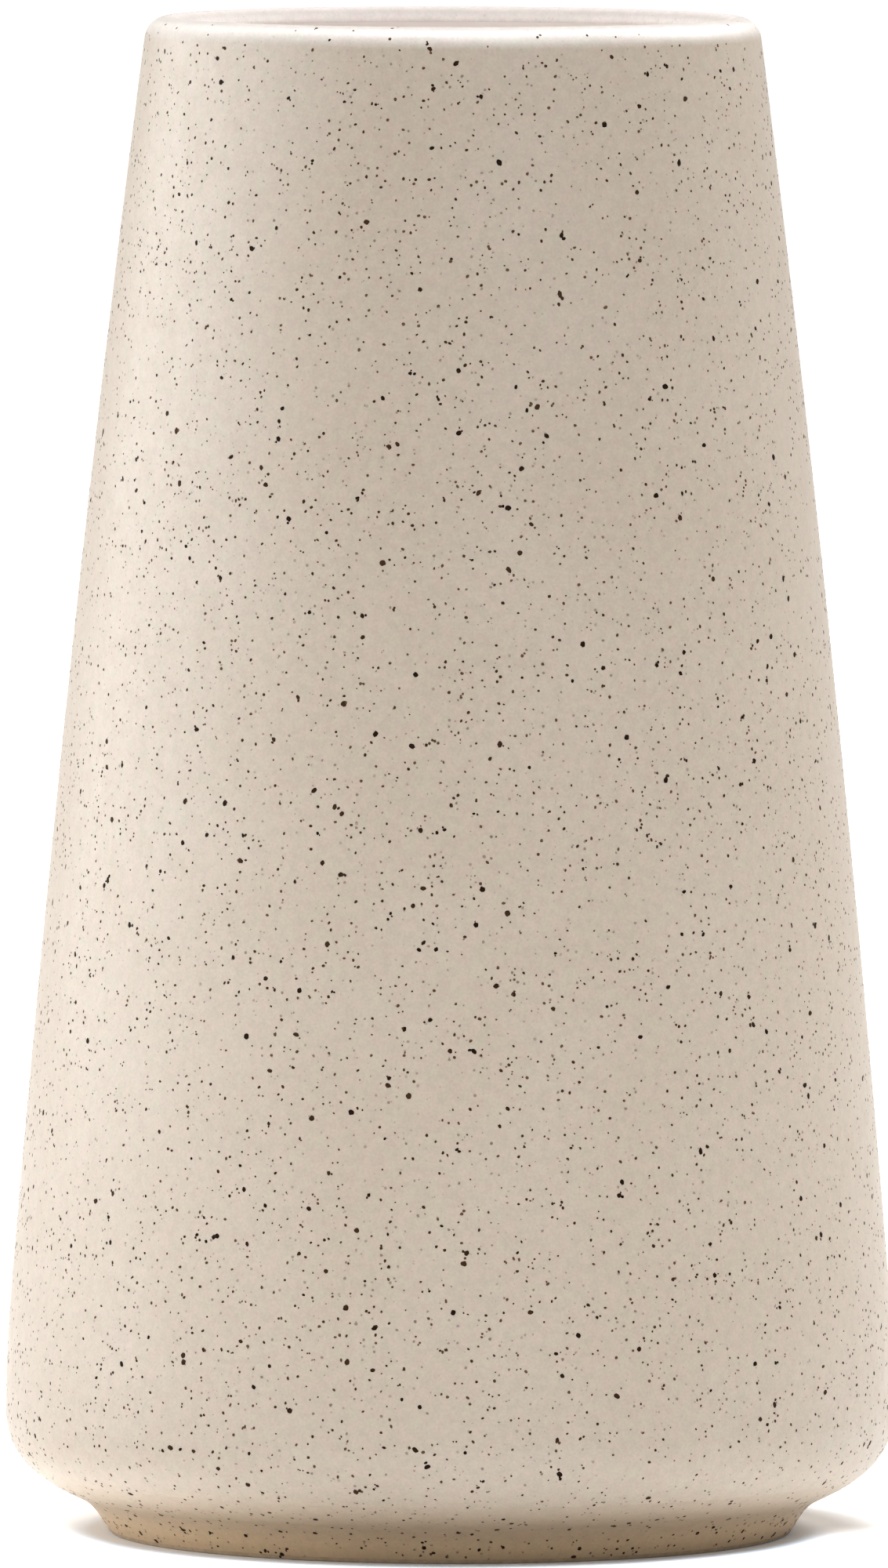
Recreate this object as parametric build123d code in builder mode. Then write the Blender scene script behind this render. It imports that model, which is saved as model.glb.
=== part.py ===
"""A tall stoneware vase with a speckled matt glaze, standing on a small turned foot.

The pot is a body of revolution about Z, and its origin is the centre of the foot on the table.
Every clay part and every coat of glaze is cut from two drawn sections of the pot: the fired
section, with the glaze on, and the clay section, one glaze thickness inside it.
Sections are drawn with x as the distance from the axis and y as the height, in millimetres.
"""

from build123d import *
import os

os.makedirs("parts", exist_ok=True)

# ---------------------------------------------------------------- driving dimensions
pot_height = 200.0
glaze_thickness = 0.4

# outside, from the widest part down to the foot
widest_radius = 58.7
widest_height = 16.0
belly_arc_radius = 10.0
belly_turn = 50.0
undercut_arc_radius = 20.0
undercut_turn = 16.0
undercut_tail_length = 5.0

# outside, from the widest part up to the lip
swell_arc_radius = 187.0
swell_turn = 4.7
lip_outer_radius = 40.24
lip_outer_round = 3.1
lip_inner_round = 1.75

# inside
mouth_radius = 35.1
mid_inner_radius = 46.4
mid_height = 100.0
floor_corner_radius = 52.9
floor_height = 10.0
floor_corner_round = 12.0

# foot
foot_outer_radius = 44.9
foot_inner_radius = 39.4
foot_block_height = 6.0
foot_block_top_radius = 48.8
foot_junction = (47.5, 4.1)
foot_junction_round = 7.0
foot_edge_round = 0.5
recess_depth = 3.5
recess_corner_round = 1.2
bare_foot_height = 0.6

# luted joints between the clay parts
ring_top_radius = 48.0
ring_top_height = 5.8
spigot_radius = 40.6
spigot_lip_height = recess_depth - recess_corner_round
slab_radius = 44.4
slab_ledge_height = 7.2
slab_top_radius = 39.5

# meeting line of the coats of glaze: at the lip, then inside the clay down to the foot
glaze_seam_height = 198.0
wall_middle_top = (37.7, glaze_seam_height)
wall_middle_bottom = (55.5, 24.0)
corner_middle = (51.0, 11.5)
slab_middle_height = 7.0
ring_middle_radius = 42.0

# how far a section or a region outline runs on past the pot
overrun = 10.0
region_radius = widest_radius + overrun
region_top = pot_height + overrun

# ---------------------------------------------------------------- sections of the whole pot
with BuildSketch() as fired_section:
    # outside of the body, filled in across the axis
    with BuildLine():
        belly = JernArc((widest_radius, widest_height), (0, -1), belly_arc_radius, -belly_turn)
        undercut = JernArc(belly @ 1, belly % 1, undercut_arc_radius, -undercut_turn)
        tail = PolarLine(undercut @ 1, undercut_tail_length, direction=undercut % 1)
        swell = JernArc((widest_radius, widest_height), (0, 1), swell_arc_radius, swell_turn)
        side = TangentArc(swell @ 1, (lip_outer_radius, pot_height), tangent=swell % 1)
        Polyline(
            side @ 1,
            (-overrun, pot_height),
            (-overrun, recess_depth),
            (foot_inner_radius, recess_depth),
            tail @ 1,
        )
    make_face()

    # foot, a flared block under the edge of the body
    with BuildLine():
        Polyline(
            (foot_inner_radius, 0),
            (foot_outer_radius, 0),
            (foot_block_top_radius, foot_block_height),
            (foot_inner_radius, foot_block_height),
            close=True,
        )
    make_face()

    # hollow inside
    with BuildLine():
        ThreePointArc(
            (floor_corner_radius, floor_height),
            (mid_inner_radius, mid_height),
            (mouth_radius, pot_height),
        )
        Polyline(
            (mouth_radius, pot_height),
            (-overrun, pot_height),
            (-overrun, floor_height),
            (floor_corner_radius, floor_height),
        )
    make_face(mode=Mode.SUBTRACT)

    rounded_corners = (
        (lip_outer_radius, pot_height, lip_outer_round),
        (mouth_radius, pot_height, lip_inner_round),
        (floor_corner_radius, floor_height, floor_corner_round),
        (*foot_junction, foot_junction_round),
        (foot_inner_radius, recess_depth, recess_corner_round),
        (foot_outer_radius, 0, foot_edge_round),
        (foot_inner_radius, 0, foot_edge_round),
    )
    for x, y, radius in rounded_corners:
        fillet(fired_section.vertices().sort_by_distance((x, y, 0))[0], radius)

with BuildSketch() as clay_section:
    add(fired_section.sketch)
    offset(amount=-glaze_thickness)

with BuildSketch() as glaze_section:
    add(fired_section.sketch)
    add(clay_section.sketch, mode=Mode.SUBTRACT)

# ---------------------------------------------------------------- clay parts
# The wall stands on the floor slab's ledge and on the top of the foot ring.
with BuildPart() as wall:
    with BuildSketch(Plane.XZ):
        add(clay_section.sketch)
        with BuildLine():
            Polyline(
                (ring_top_radius, 0),
                (region_radius, 0),
                (region_radius, region_top),
                (0, region_top),
                (0, floor_height),
                (slab_top_radius, floor_height),
                (slab_top_radius, slab_ledge_height),
                (slab_radius, slab_ledge_height),
                (slab_radius, ring_top_height),
                (ring_top_radius, ring_top_height),
                close=True,
            )
        make_face(mode=Mode.INTERSECT)
    revolve(axis=Axis.Z)
wall.part.label = "wall"
export_step(wall.part, "parts/wall.step")

# The floor slab is a stepped disc. Its ledge carries the wall, and its spigot drops into the
# foot ring, where it also fills the round corner of the recess.
with BuildPart() as floor_slab:
    with BuildSketch(Plane.XZ):
        add(clay_section.sketch)
        with BuildLine():
            Polyline(
                (0, spigot_lip_height),
                (spigot_radius, spigot_lip_height),
                (spigot_radius, ring_top_height),
                (slab_radius, ring_top_height),
                (slab_radius, slab_ledge_height),
                (slab_top_radius, slab_ledge_height),
                (slab_top_radius, floor_height),
                (0, floor_height),
                close=True,
            )
        make_face(mode=Mode.INTERSECT)
    revolve(axis=Axis.Z)
floor_slab.part.label = "floor_slab"
export_step(floor_slab.part, "parts/floor_slab.step")

# The foot ring is bare clay where it touches the table, and glazed above that.
with BuildPart() as foot_ring:
    with BuildSketch(Plane.XZ):
        add(clay_section.sketch)
        with BuildLine():
            Polyline(
                (0, bare_foot_height),
                (ring_top_radius, bare_foot_height),
                (ring_top_radius, ring_top_height),
                (spigot_radius, ring_top_height),
                (spigot_radius, spigot_lip_height),
                (0, spigot_lip_height),
                close=True,
            )
        make_face(mode=Mode.INTERSECT)
    with BuildSketch(Plane.XZ):
        add(fired_section.sketch)
        Rectangle(
            region_radius,
            bare_foot_height,
            align=(Align.MIN, Align.MIN),
            mode=Mode.INTERSECT,
        )
    revolve(axis=Axis.Z)
foot_ring.part.label = "foot_ring"
export_step(foot_ring.part, "parts/foot_ring.step")

# ---------------------------------------------------------------- coats of glaze
# The outer coat runs from just above the table, up the outside and over the lip.
with BuildPart() as outer_glaze:
    with BuildSketch(Plane.XZ):
        add(glaze_section.sketch)
        with BuildLine():
            Polyline(
                (ring_middle_radius, bare_foot_height),
                (region_radius, bare_foot_height),
                (region_radius, region_top),
                (0, region_top),
                (0, glaze_seam_height),
                wall_middle_top,
                wall_middle_bottom,
                corner_middle,
                (ring_middle_radius, slab_middle_height),
                close=True,
            )
        make_face(mode=Mode.INTERSECT)
    revolve(axis=Axis.Z)
outer_glaze.part.label = "outer_glaze"
export_step(outer_glaze.part, "parts/outer_glaze.step")

# The liner coats the inside wall and the floor.
with BuildPart() as liner_glaze:
    with BuildSketch(Plane.XZ):
        add(glaze_section.sketch)
        with BuildLine():
            Polyline(
                (0, slab_middle_height),
                (ring_middle_radius, slab_middle_height),
                corner_middle,
                wall_middle_bottom,
                wall_middle_top,
                (0, glaze_seam_height),
                close=True,
            )
        make_face(mode=Mode.INTERSECT)
    revolve(axis=Axis.Z)
liner_glaze.part.label = "liner_glaze"
export_step(liner_glaze.part, "parts/liner_glaze.step")

# The underside coat fills in the recess within the foot ring.
with BuildPart() as underside_glaze:
    with BuildSketch(Plane.XZ):
        add(glaze_section.sketch)
        with Locations((0, bare_foot_height)):
            Rectangle(
                ring_middle_radius,
                slab_middle_height - bare_foot_height,
                align=(Align.MIN, Align.MIN),
                mode=Mode.INTERSECT,
            )
    revolve(axis=Axis.Z)
underside_glaze.part.label = "underside_glaze"
export_step(underside_glaze.part, "parts/underside_glaze.step")
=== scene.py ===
"""Looks, light and camera for a speckled stoneware vase, in metres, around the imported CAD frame."""

import math
import random

import bpy
from mathutils import Euler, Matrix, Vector
from mathutils.bvhtree import BVHTree


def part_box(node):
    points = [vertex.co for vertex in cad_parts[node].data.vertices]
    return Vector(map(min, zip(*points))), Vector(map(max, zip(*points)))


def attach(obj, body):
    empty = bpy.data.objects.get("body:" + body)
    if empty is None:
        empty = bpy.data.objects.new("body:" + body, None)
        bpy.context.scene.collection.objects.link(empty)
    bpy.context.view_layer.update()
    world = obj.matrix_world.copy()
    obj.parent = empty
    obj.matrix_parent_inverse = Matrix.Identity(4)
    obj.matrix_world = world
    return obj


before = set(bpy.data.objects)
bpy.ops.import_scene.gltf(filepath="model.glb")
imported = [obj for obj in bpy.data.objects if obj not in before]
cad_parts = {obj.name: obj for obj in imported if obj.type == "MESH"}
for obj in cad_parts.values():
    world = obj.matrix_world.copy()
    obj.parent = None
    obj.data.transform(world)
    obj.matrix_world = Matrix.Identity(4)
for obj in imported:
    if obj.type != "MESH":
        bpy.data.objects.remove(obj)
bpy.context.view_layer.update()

MM = 0.001
glaze_low, glaze_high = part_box("outer_glaze")
FOOT_EDGE = glaze_low[2]
POT_HEIGHT = glaze_high[2]
WIDEST = glaze_high[0]


# ---------------------------------------------------------------- node helpers
class Shader:
    """A new material, with short calls that each add a node and return its output."""

    def __init__(self, name):
        self.material = bpy.data.materials.new(name)
        self.material.use_nodes = True
        self.nodes = self.material.node_tree.nodes
        self.links = self.material.node_tree.links
        self.surface = self.nodes["Principled BSDF"].inputs
        self.position = self.nodes.new("ShaderNodeTexCoord").outputs["Object"]

    def put(self, value, socket):
        """Sets a socket to a number or colour, or links it to another node's output."""
        if isinstance(value, bpy.types.NodeSocket):
            self.links.new(value, socket)
        else:
            socket.default_value = value

    def calculate(self, operation, *numbers):
        """Does arithmetic on numbers."""
        node = self.nodes.new("ShaderNodeMath")
        node.operation = operation
        for number, socket in zip(numbers, node.inputs):
            self.put(number, socket)
        return node.outputs[0]

    def times(self, *numbers):
        product = numbers[0]
        for number in numbers[1:]:
            product = self.calculate("MULTIPLY", product, number)
        return product

    def plus(self, *numbers):
        total = numbers[0]
        for number in numbers[1:]:
            total = self.calculate("ADD", total, number)
        return total

    def combine(self, operation, *vectors):
        """Does arithmetic on vectors or colours."""
        node = self.nodes.new("ShaderNodeVectorMath")
        node.operation = operation
        for vector, socket in zip(vectors, node.inputs):
            self.put(vector, socket)
        return node.outputs["Vector"]

    def scaled(self, colour, factor):
        """Multiplies a colour by a number."""
        node = self.nodes.new("ShaderNodeVectorMath")
        node.operation = "SCALE"
        self.put(colour, node.inputs[0])
        self.put(factor, node.inputs["Scale"])
        return node.outputs["Vector"]

    def mix(self, factor, a, b):
        """Mixes two colours."""
        node = self.nodes.new("ShaderNodeMix")
        node.data_type = "RGBA"
        for value, socket in ((factor, 0), (a, 6), (b, 7)):
            self.put(value, node.inputs[socket])
        return node.outputs[2]

    def ramp(self, value, low, high, to_low=0.0, to_high=1.0):
        """Maps low..high smoothly onto to_low..to_high."""
        node = self.nodes.new("ShaderNodeMapRange")
        node.interpolation_type = "SMOOTHSTEP"
        for item, socket in zip((value, low, high, to_low, to_high), node.inputs):
            self.put(item, socket)
        return node.outputs[0]

    def noise(self, size, detail):
        """Noise with features about size across: its strength, then its colour."""
        node = self.nodes.new("ShaderNodeTexNoise")
        self.put(self.position, node.inputs["Vector"])
        node.inputs["Scale"].default_value = 1.0 / size
        node.inputs["Detail"].default_value = detail
        return node.outputs

    def uneven(self, size, low=0.0, high=1.0, detail=2.0, within=(0.3, 0.7)):
        """Wanders between low and high, in patches about size across.

        Within is the range of the noise that reaches from low to high. A narrower one gives
        patches with harder edges.
        """
        return self.ramp(self.noise(size, detail)[0], *within, low, high)

    def coordinates(self):
        """The position's x, y and z."""
        node = self.nodes.new("ShaderNodeSeparateXYZ")
        self.put(self.position, node.inputs[0])
        return node.outputs

    def from_axis(self):
        """The distance from the pot's axis."""
        node = self.nodes.new("ShaderNodeVectorMath")
        node.operation = "LENGTH"
        self.put(self.combine("MULTIPLY", self.position, (1, 1, 0)), node.inputs[0])
        return node.outputs["Value"]

    def shaken(self, size, amount, offset):
        """The position, pushed about by noise, so that round spots come out uneven.

        The offset moves the whole pattern, so that two layers of spots differ.
        """
        push = (amount, amount, amount)
        pushed = self.combine("MULTIPLY_ADD", self.noise(size, detail=1.0)[1], push, self.position)
        return self.combine("ADD", pushed, (offset, offset * 0.7, offset * 1.3))

    def specks(self, cell, smallest, largest, share, edge, offset):
        """A mask of uneven specks, at most one in each cell of that size, in a share of the cells.

        Smallest and largest are radii, and edge is how far a speck's rim is blurred. A few specks
        are large and most are small. Their strengths lie between FAINTEST and 1.
        """
        cells = self.nodes.new("ShaderNodeTexVoronoi")
        self.put(self.shaken(SHAKE_SIZE, SHAKE_AMOUNT, offset), cells.inputs["Vector"])
        cells.inputs["Scale"].default_value = 1.0 / cell
        chances = self.nodes.new("ShaderNodeSeparateColor")
        self.put(cells.outputs["Color"], chances.inputs[0])
        size_chance, presence_chance, strength_chance = chances.outputs
        distance = self.times(cells.outputs["Distance"], cell)
        mostly_small = self.calculate("POWER", size_chance, 2.0)
        radius = self.calculate("MULTIPLY_ADD", mostly_small, largest - smallest, smallest)
        mask = self.ramp(self.calculate("SUBTRACT", radius, distance), -edge, edge)
        present = self.calculate("LESS_THAN", presence_chance, share)
        strength = self.calculate("MULTIPLY_ADD", strength_chance, 1.0 - FAINTEST, FAINTEST)
        return self.times(mask, present, strength)


def assign(node, material):
    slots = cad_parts[node].data.materials
    slots.clear()
    slots.append(material)


# ---------------------------------------------------------------- materials
CREAM = (0.408, 0.337, 0.263, 1.0)
CREAM_PALE = (0.420, 0.352, 0.280, 1.0)
PINKISH = (1.017, 0.988, 1.005, 1.0)
GREENISH = (0.983, 1.012, 0.995, 1.0)
# Buff clay showing through thin glaze on the foot, darkened and warmed further as painted shade.
BUFF_AND_PAINTED_SHADE = (0.47, 0.33, 0.19, 1.0)
# The lip's outer round: a paler glaze, partly a painted highlight.
LIP_ROUND_AND_HIGHLIGHT = (0.49, 0.45, 0.41, 1.0)
# The lip's flat top, darker than the round as painted shade under the overhead light.
LIP_TOP_AND_SHADE = (0.39, 0.355, 0.325, 1.0)
# The top of the mouth's inner round, darker than the liner as painted shade.
LIP_INSIDE_AND_SHADE = (0.38, 0.34, 0.315, 1.0)
LINER = (0.91, 0.84, 0.80, 1.0)
LINER_PALE = (0.94, 0.87, 0.83, 1.0)
CLAY = (0.36, 0.26, 0.16, 1.0)
CLAY_PALE = (0.44, 0.33, 0.22, 1.0)
IRON = (0.012, 0.006, 0.003, 1.0)
IRON_BROWN_DARK = (0.040, 0.019, 0.010, 1.0)
IRON_BROWN = (0.10, 0.055, 0.033, 1.0)
IRON_FAINT = (0.105, 0.066, 0.046, 1.0)

# The two heights between which each band of the glaze begins or ends.
# Painted shade, in part: the buff band on the foot.
BUFF_AND_SHADE_ENDS = (1.0 * MM, 10.5 * MM)
# Painted shade: the darker line under the belly.
PAINTED_SHADE_LINE_BEGINS = (2.0 * MM, 4.5 * MM)
PAINTED_SHADE_LINE_ENDS = (5.0 * MM, 8.5 * MM)
# Painted shade: between these heights the body darkens towards the mouth.
BODY_PAINTED_SHADE_SPAN = (30 * MM, 230 * MM)
SPECKS_FADE = (195 * MM, 198 * MM)
LIP_BEGINS = (197.0 * MM, 198.7 * MM)
LINER_ENDS = (198.1 * MM, 199.6 * MM)
# Painted shade on the lip's flat top.
LIP_TOP_SHADE_BEGINS = (199.1 * MM, 199.8 * MM)

MOUTH_SIDE_ENDS = (37.0 * MM, 37.4 * MM)  # distances from the axis
MOUTH_SIDE_ROUGHER = 0.3

# Painted shade: the body's brightness is lower near the mouth.
BODY_PAINTED_SHADE_BRIGHTNESS = (1.01, 0.85)  # low on the body, and high
# Painted shade: the brightness of the line under the belly.
PAINTED_SHADE_LINE_BRIGHTNESS = 0.83
TINT_SIZE = 1.7 * MM
GRAINS = ((0.35 * MM, 0.045), (1.3 * MM, 0.036))  # size, and change of brightness either way

# The faintest specks are in the glaze's colour, in two layers with different cells.
FAINT_LAYERS = ((1.1 * MM, 0.0), (1.35 * MM, 0.05))  # cell, offset
FAINT_RADII = (0.09 * MM, 0.21 * MM)
FAINT_SHARE = 0.8
FAINT_ON_LIP = 0.25
FAINT_EDGE = 0.03 * MM
FAINTEST = 0.4
SHAKE_SIZE = 0.3 * MM
SHAKE_AMOUNT = 0.25 * MM


def body_colour(s, height):
    """Cream, darkened with height by painted shade, buff on the foot that is partly painted shade, and a
    line of painted shade under the belly.
    """
    colour = s.mix(s.uneven(18 * MM, detail=3.0), CREAM, CREAM_PALE)
    # Painted shade, darker towards the mouth.
    colour = s.scaled(colour, s.ramp(height, *BODY_PAINTED_SHADE_SPAN, *BODY_PAINTED_SHADE_BRIGHTNESS))
    # Buff on the foot: partly glaze running thin, partly painted shade under the belly.
    colour = s.mix(s.ramp(height, *BUFF_AND_SHADE_ENDS, 1.0, 0.0), colour, BUFF_AND_PAINTED_SHADE)
    # Painted shade in a line under the belly.
    painted_shade_line = s.times(s.ramp(height, *PAINTED_SHADE_LINE_BEGINS), s.ramp(height, *PAINTED_SHADE_LINE_ENDS, 1.0, 0.0))
    return s.mix(painted_shade_line, colour, s.scaled(colour, PAINTED_SHADE_LINE_BRIGHTNESS))


def speckled_glaze():
    """The matt cream glaze: paler on the lip, partly as a painted highlight on its outer round and with
    painted shade on its top and inner round, white down the mouth's side, and finely specked.
    """
    s = Shader("speckled_glaze")
    height = s.coordinates()[2]
    on_lip = s.ramp(height, *LIP_BEGINS)
    mouth_side = s.times(on_lip, s.ramp(s.from_axis(), *MOUTH_SIDE_ENDS, 1.0, 0.0))
    # Paler lip, partly a painted highlight on its outer round.
    colour = s.mix(on_lip, body_colour(s, height), LIP_ROUND_AND_HIGHLIGHT)
    # Painted shade on the lip's flat top.
    colour = s.mix(s.ramp(height, *LIP_TOP_SHADE_BEGINS), colour, LIP_TOP_AND_SHADE)
    # White liner down the mouth's side, with painted shade at the top of the inner round.
    colour = s.mix(mouth_side, colour, s.mix(s.ramp(height, *LINER_ENDS), LINER, LIP_INSIDE_AND_SHADE))

    tint = s.mix(s.uneven(TINT_SIZE, within=(0.35, 0.65)), PINKISH, GREENISH)
    colour = s.combine("MULTIPLY", colour, tint)
    for size, change in GRAINS:
        colour = s.scaled(colour, s.uneven(size, 1 - change, 1 + change))
    for cell, offset in FAINT_LAYERS:
        faint = s.specks(cell, *FAINT_RADII, FAINT_SHARE, FAINT_EDGE, offset)
        faint = s.times(faint, s.ramp(height, *SPECKS_FADE, 1.0, FAINT_ON_LIP))
        colour = s.mix(faint, colour, IRON_FAINT)

    s.put(colour, s.surface["Base Color"])
    matt = s.uneven(3 * MM, 0.44, 0.50)
    s.put(s.calculate("MULTIPLY_ADD", mouth_side, MOUTH_SIDE_ROUGHER, matt), s.surface["Roughness"])
    s.put(1.0, s.surface["Specular IOR Level"])
    return s.material


def iron(name, dark, light):
    """Burnt iron, with hardly any shine."""
    s = Shader(name)
    s.put(s.mix(s.uneven(2.2 * MM, detail=0.0, within=(0.4, 0.65)), dark, light), s.surface["Base Color"])
    s.put(s.uneven(0.2 * MM, 0.45, 0.6), s.surface["Roughness"])
    s.put(0.04, s.surface["Specular IOR Level"])
    return s.material


def liner_glaze():
    """The smoother white glaze inside."""
    s = Shader("liner_glaze")
    s.put(s.mix(s.uneven(12 * MM, detail=3.0), LINER, LINER_PALE), s.surface["Base Color"])
    s.put(s.uneven(4 * MM, 0.34, 0.42), s.surface["Roughness"])
    return s.material


def buff_clay():
    """Fired clay, which shows where no glaze lies on it."""
    s = Shader("buff_clay")
    s.put(s.mix(s.uneven(0.8 * MM, detail=4.0), CLAY, CLAY_PALE), s.surface["Base Color"])
    s.put(0.85, s.surface["Roughness"])
    return s.material


outside = speckled_glaze()
assign("outer_glaze", outside)
assign("underside_glaze", outside)
assign("liner_glaze", liner_glaze())
clay = buff_clay()
for node in ("wall", "floor_slab", "foot_ring"):
    assign(node, clay)


# ---------------------------------------------------------------- iron specks
SPECK_SUNK = 0.12 * MM
SPECK_EDGE_PROUD = 0.008 * MM
SPECK_CROWN = 0.03 * MM
SPECK_UNEVENNESS = (0.82, 1.12)
SPECK_STRETCH = (1.0, 1.22)
SMOOTH_FROM = 0.24 * MM  # specks with a larger radius get more corners

SPARSE_TOP = 4 * MM
SPARSE_TOP_LEFT_OUT = 0.6

PARTNER_SIZE = (0.5, 0.8)
PARTNER_REACH = 1.5
PARTNER_TURNS = 9  # its direction turns this often round the pot, so neighbours' directions differ


def skin_of(node):
    """A node's surface as a tree that rays can be cast against."""
    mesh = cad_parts[node].data
    points = [vertex.co for vertex in mesh.vertices]
    return BVHTree.FromPolygons(points, [face.vertices for face in mesh.polygons])


def speck_place(skin, top, rng):
    """Picks a place on the side, up to the height top, less often in the top few millimetres."""
    while True:
        azimuth = rng.uniform(0, math.tau)
        height = rng.uniform(FOOT_EDGE, top)
        inward = Vector((-math.cos(azimuth), -math.sin(azimuth), 0))
        start = Vector((0, 0, height)) - inward * (2 * WIDEST)
        middle, outward, _, _ = skin.ray_cast(start, inward)
        if rng.random() > math.hypot(middle.x, middle.y) / WIDEST:
            continue
        if height > POT_HEIGHT - SPARSE_TOP and rng.random() < SPARSE_TOP_LEFT_OUT:
            continue
        return azimuth, middle, outward


def add_speck(points, faces, middle, outward, radius, stretch, rng):
    """Adds one closed, slightly crowned and uneven disc, sunk into the glaze."""
    sideways = outward.orthogonal().normalized()
    upwards = outward.cross(sideways)
    turn = rng.uniform(0, math.tau)
    corners = 12 if radius > SMOOTH_FROM else 8
    first = len(points)
    for corner in range(corners):
        angle = math.tau * corner / corners
        reach = radius * rng.uniform(*SPECK_UNEVENNESS)
        along = reach * math.cos(angle) * stretch
        across = reach * math.sin(angle) / stretch
        a = along * math.cos(turn) - across * math.sin(turn)
        b = along * math.sin(turn) + across * math.cos(turn)
        points.append(middle + sideways * a + upwards * b + outward * SPECK_EDGE_PROUD)
    crown = len(points)
    points.append(middle + outward * SPECK_CROWN)
    root = len(points)
    points.append(middle - outward * SPECK_SUNK)
    for corner in range(corners):
        here = first + corner
        following = first + (corner + 1) % corners
        faces.append((here, following, crown))
        faces.append((following, here, root))


def iron_specks(name, material, count, radii, lean, seed, partner_share=0.0, top=POT_HEIGHT):
    """Scatters specks over the outside, in one piece.

    A larger lean makes more of them small. A share of them get a smaller partner that touches them.
    """
    rng = random.Random(seed)
    skin = skin_of("outer_glaze")
    smallest, largest = radii
    points = []
    faces = []
    for _ in range(count):
        azimuth, middle, outward = speck_place(skin, top, rng)
        radius = smallest + (largest - smallest) * rng.random() ** lean
        stretch = rng.uniform(*SPECK_STRETCH)
        add_speck(points, faces, middle, outward, radius, stretch, rng)
        if rng.random() < partner_share:
            sideways = outward.orthogonal().normalized()
            angle = azimuth * PARTNER_TURNS
            beside = sideways * math.cos(angle) + outward.cross(sideways) * math.sin(angle)
            partner = middle + beside * radius * PARTNER_REACH
            smaller = radius * rng.uniform(*PARTNER_SIZE)
            add_speck(points, faces, partner, outward, smaller, stretch, rng)
    mesh = bpy.data.meshes.new(name)
    mesh.from_pydata(points, [], faces)
    mesh.materials.append(material)
    obj = bpy.data.objects.new(name, mesh)
    bpy.context.scene.collection.objects.link(obj)
    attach(obj, "root")


black_iron = iron("black_iron", IRON, IRON_BROWN_DARK)
brown_iron = iron("brown_iron", IRON_BROWN_DARK, IRON_BROWN)
iron_specks("large_specks", black_iron, 1500, (0.19 * MM, 0.41 * MM), 1.6, seed=11, partner_share=0.14)
iron_specks("small_specks", brown_iron, 12000, (0.11 * MM, 0.235 * MM), 1.3, seed=12)
iron_specks(
    "foot_specks", black_iron, 220, (0.15 * MM, 0.38 * MM), 1.3, seed=13, partner_share=0.3, top=7 * MM
)


# ---------------------------------------------------------------- floor
FLOOR_REACH = 12.0
FLOOR_WHITE = (0.9, 0.9, 0.9, 1.0)
GLOW_WHITE = (1.0, 1.0, 1.0, 1.0)
GLOW_COOL = (0.5, 0.75, 1.0, 1.0)  # close to the foot, where the pot colours the floor warm

GLOW_AT_FOOT = 0.05
GLOW_NEAR = 0.12
GLOW_FAR = 0.7
GLOW_LEFT = 0.9
GLOW_RIGHT = 0.3
# Painted light that whitens the floor's shadow in front of the foot, for camera rays only.
SEEN_LIGHTENED = (0.9, 1.8)  # in the middle, and at the right
# Painted shadow on the floor at the foot's sides, for camera rays only.
SEEN_SHADE = 0.5


def glow_on_pot(s, x, distance):
    """The glow that lights the pot: weak near it, stronger far away and in a ring at its two sides."""
    near = s.ramp(distance, 46 * MM, 60 * MM, GLOW_AT_FOOT, GLOW_NEAR)
    far = s.ramp(distance, 0.3, 1.5, 0.0, GLOW_FAR)
    left = s.ramp(x, -60 * MM, -10 * MM, GLOW_LEFT, 0.0)
    right = s.ramp(x, 15 * MM, 60 * MM, 0.0, GLOW_RIGHT)
    ring = s.times(s.ramp(distance, 47 * MM, 53 * MM), s.ramp(distance, 56 * MM, 78 * MM, 1.0, 0.0))
    return s.plus(near, far, s.times(s.plus(left, right), ring))


def glow_seen(s, x, y, distance):
    """What only camera rays see added: painted light that whitens the floor's shadow in front of the
    foot, and painted shadow at its sides.
    """
    # Painted light, for camera rays only, over the floor's shadow in front of the foot.
    lightened_ring = s.ramp(distance, 46.5 * MM, 52 * MM)
    in_front = s.ramp(y, -18 * MM, 0.0, 1.0, 0.0)
    lightened = s.times(lightened_ring, s.ramp(x, 20 * MM, 46 * MM, *SEEN_LIGHTENED), in_front)
    # Painted shadow, for camera rays only, at the foot's sides.
    shade_begins = s.ramp(distance, 48 * MM, 53 * MM)
    shade_ends = s.ramp(distance, 55 * MM, 68 * MM, SEEN_SHADE, 0.0)
    at_sides = s.times(s.ramp(y, -6 * MM, 8 * MM), s.ramp(x, -54 * MM, -50 * MM))
    shade = s.times(shade_begins, shade_ends, at_sides)
    return s.calculate("SUBTRACT", lightened, shade)


# The floor glows: painted light under and around the pot that lights it, and, for camera rays only,
# painted light in front of the foot and painted shadow at its sides.
def white_floor():
    s = Shader("white_floor")
    s.put(FLOOR_WHITE, s.surface["Base Color"])
    s.put(0.9, s.surface["Roughness"])
    s.put(0.0, s.surface["Specular IOR Level"])
    x, y, _ = s.coordinates()
    distance = s.from_axis()
    cool = s.ramp(distance, 47 * MM, 52 * MM, 1.0, 0.0)
    s.put(s.mix(cool, GLOW_WHITE, GLOW_COOL), s.surface["Emission Color"])
    camera_ray = s.nodes.new("ShaderNodeLightPath").outputs["Is Camera Ray"]
    seen = s.times(camera_ray, glow_seen(s, x, y, distance))
    s.put(s.plus(glow_on_pot(s, x, distance), seen), s.surface["Emission Strength"])
    return s.material


def floor():
    signs = ((-1, -1), (1, -1), (1, 1), (-1, 1))
    corners = [(FLOOR_REACH * x, FLOOR_REACH * y, 0) for x, y in signs]
    mesh = bpy.data.meshes.new("floor")
    mesh.from_pydata(corners, [], [(0, 1, 2, 3)])
    mesh.materials.append(white_floor())
    obj = bpy.data.objects.new("floor", mesh)
    bpy.context.scene.collection.objects.link(obj)


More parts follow.
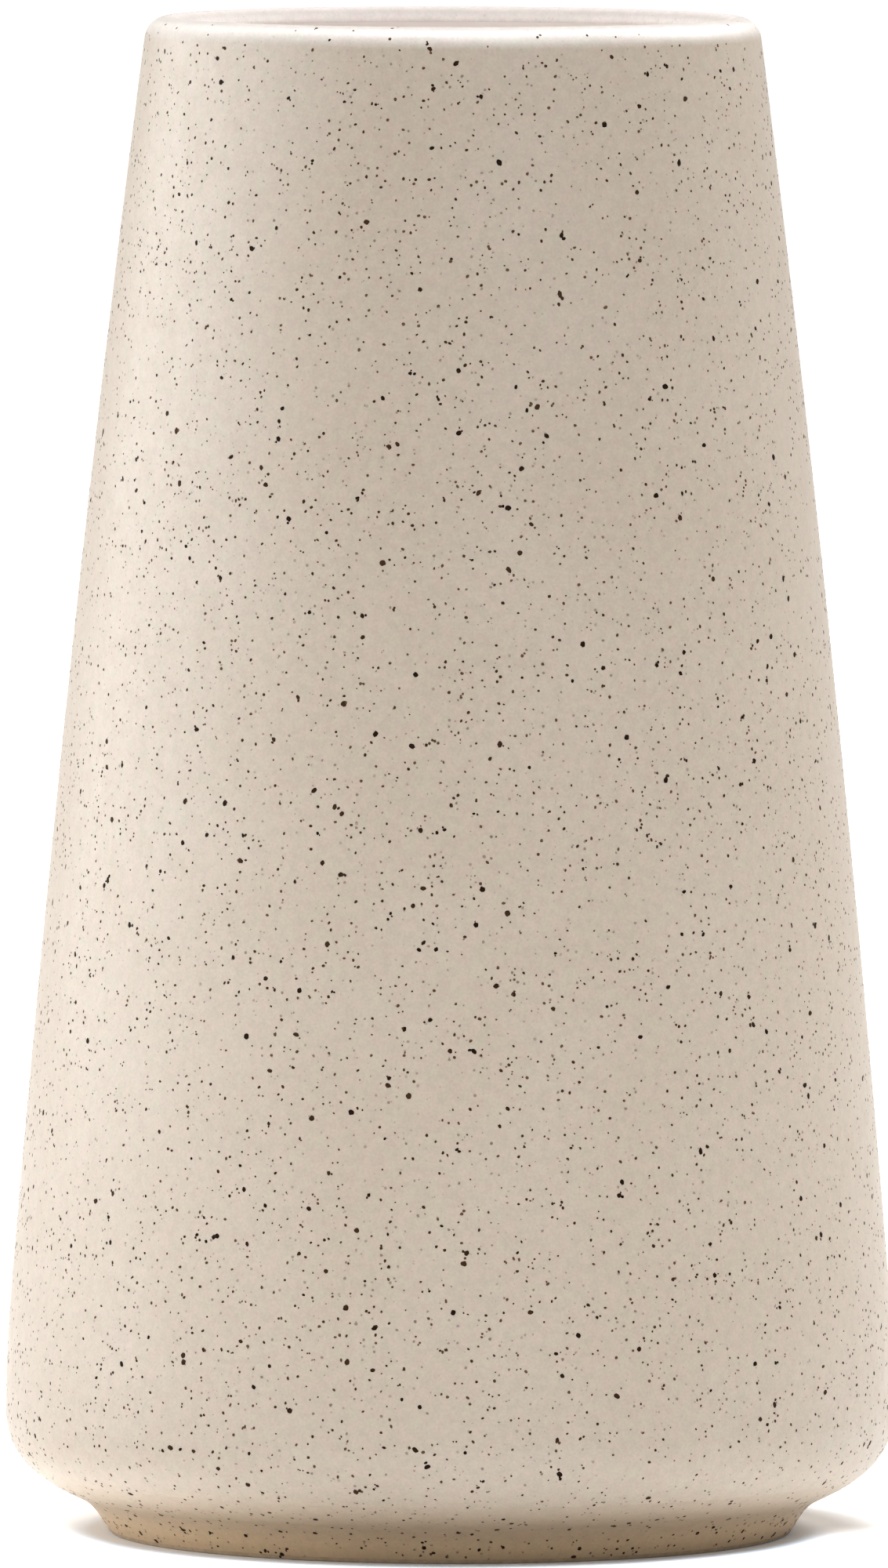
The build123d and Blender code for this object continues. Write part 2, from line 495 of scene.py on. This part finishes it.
# ---------------------------------------------------------------- light
SOFTBOX_DISTANCE = 1.2
SOFTBOXES = (
    # name, azimuth and elevation in degrees, width, height, brightness
    ("overhead", 0, 90, 0.9, 0.9, 6.9),
    ("back_right", 130, 45, 0.8, 0.7, 6.0),
    ("back_left", -135, 50, 0.8, 0.7, 2.6),
    ("left_back", -120, 9, 0.62, 0.44, 4.0),
    ("left", -90, 9, 0.62, 0.44, 4.2),
    ("left_front", -60, 9, 0.62, 0.44, 2.0),
    ("front", 28, 45, 0.8, 0.7, 2.1),
)
BACKDROP_SEEN = 1.05
BACKDROP_LIGHT = 0.3


def softbox(name, azimuth, elevation, width, height, brightness):
    """A rectangular light aimed at the pot's middle. Azimuth 0 is the camera's side, and 90 the right."""
    around = math.radians(azimuth)
    up = math.radians(elevation)
    direction = Vector((math.sin(around) * math.cos(up), -math.cos(around) * math.cos(up), math.sin(up)))
    light = bpy.data.lights.new(name, "AREA")
    light.shape = "RECTANGLE"
    light.size = width
    light.size_y = height
    light.energy = brightness * math.pi * width * height
    obj = bpy.data.objects.new(name, light)
    obj.location = Vector((0, 0, POT_HEIGHT / 2)) + direction * SOFTBOX_DISTANCE
    obj.rotation_euler = (-direction).to_track_quat("-Z", "Y").to_euler()
    obj.visible_camera = False
    bpy.context.scene.collection.objects.link(obj)


def backdrop():
    """White where the camera looks past the floor, dimmer as a light."""
    world = bpy.data.worlds.new("studio")
    bpy.context.scene.world = world
    world.use_nodes = True
    tree = world.node_tree
    background = tree.nodes["Background"]
    background.inputs["Color"].default_value = GLOW_WHITE
    rays = tree.nodes.new("ShaderNodeLightPath")
    strength = tree.nodes.new("ShaderNodeMapRange")
    strength.inputs["To Min"].default_value = BACKDROP_LIGHT
    strength.inputs["To Max"].default_value = BACKDROP_SEEN
    tree.links.new(rays.outputs["Is Camera Ray"], strength.inputs["Value"])
    tree.links.new(strength.outputs[0], background.inputs["Strength"])


floor()
for row in SOFTBOXES:
    softbox(*row)
backdrop()

view = bpy.context.scene.view_settings
view.view_transform = "Standard"
view.look = "None"
view.exposure = 0.0
view.gamma = 1.0


# ---------------------------------------------------------------- camera
CAMERA_PLACE = (-0.00098, -3.2, 0.31872)
CAMERA_LENS = 558.55
LOOKING_DOWN = math.radians(3.9316)
ROLL = math.radians(0.12)


def camera():
    data = bpy.data.cameras.new("camera")
    data.sensor_width = 36.0
    data.lens = CAMERA_LENS
    data.clip_start = 0.1
    data.clip_end = 100.0
    obj = bpy.data.objects.new("camera", data)
    obj.location = CAMERA_PLACE
    pitch = Euler((math.pi / 2 - LOOKING_DOWN, 0, 0)).to_matrix()
    roll = Euler((0, 0, ROLL)).to_matrix()
    obj.rotation_euler = (pitch @ roll).to_euler()
    bpy.context.scene.collection.objects.link(obj)
    bpy.context.scene.camera = obj


camera()
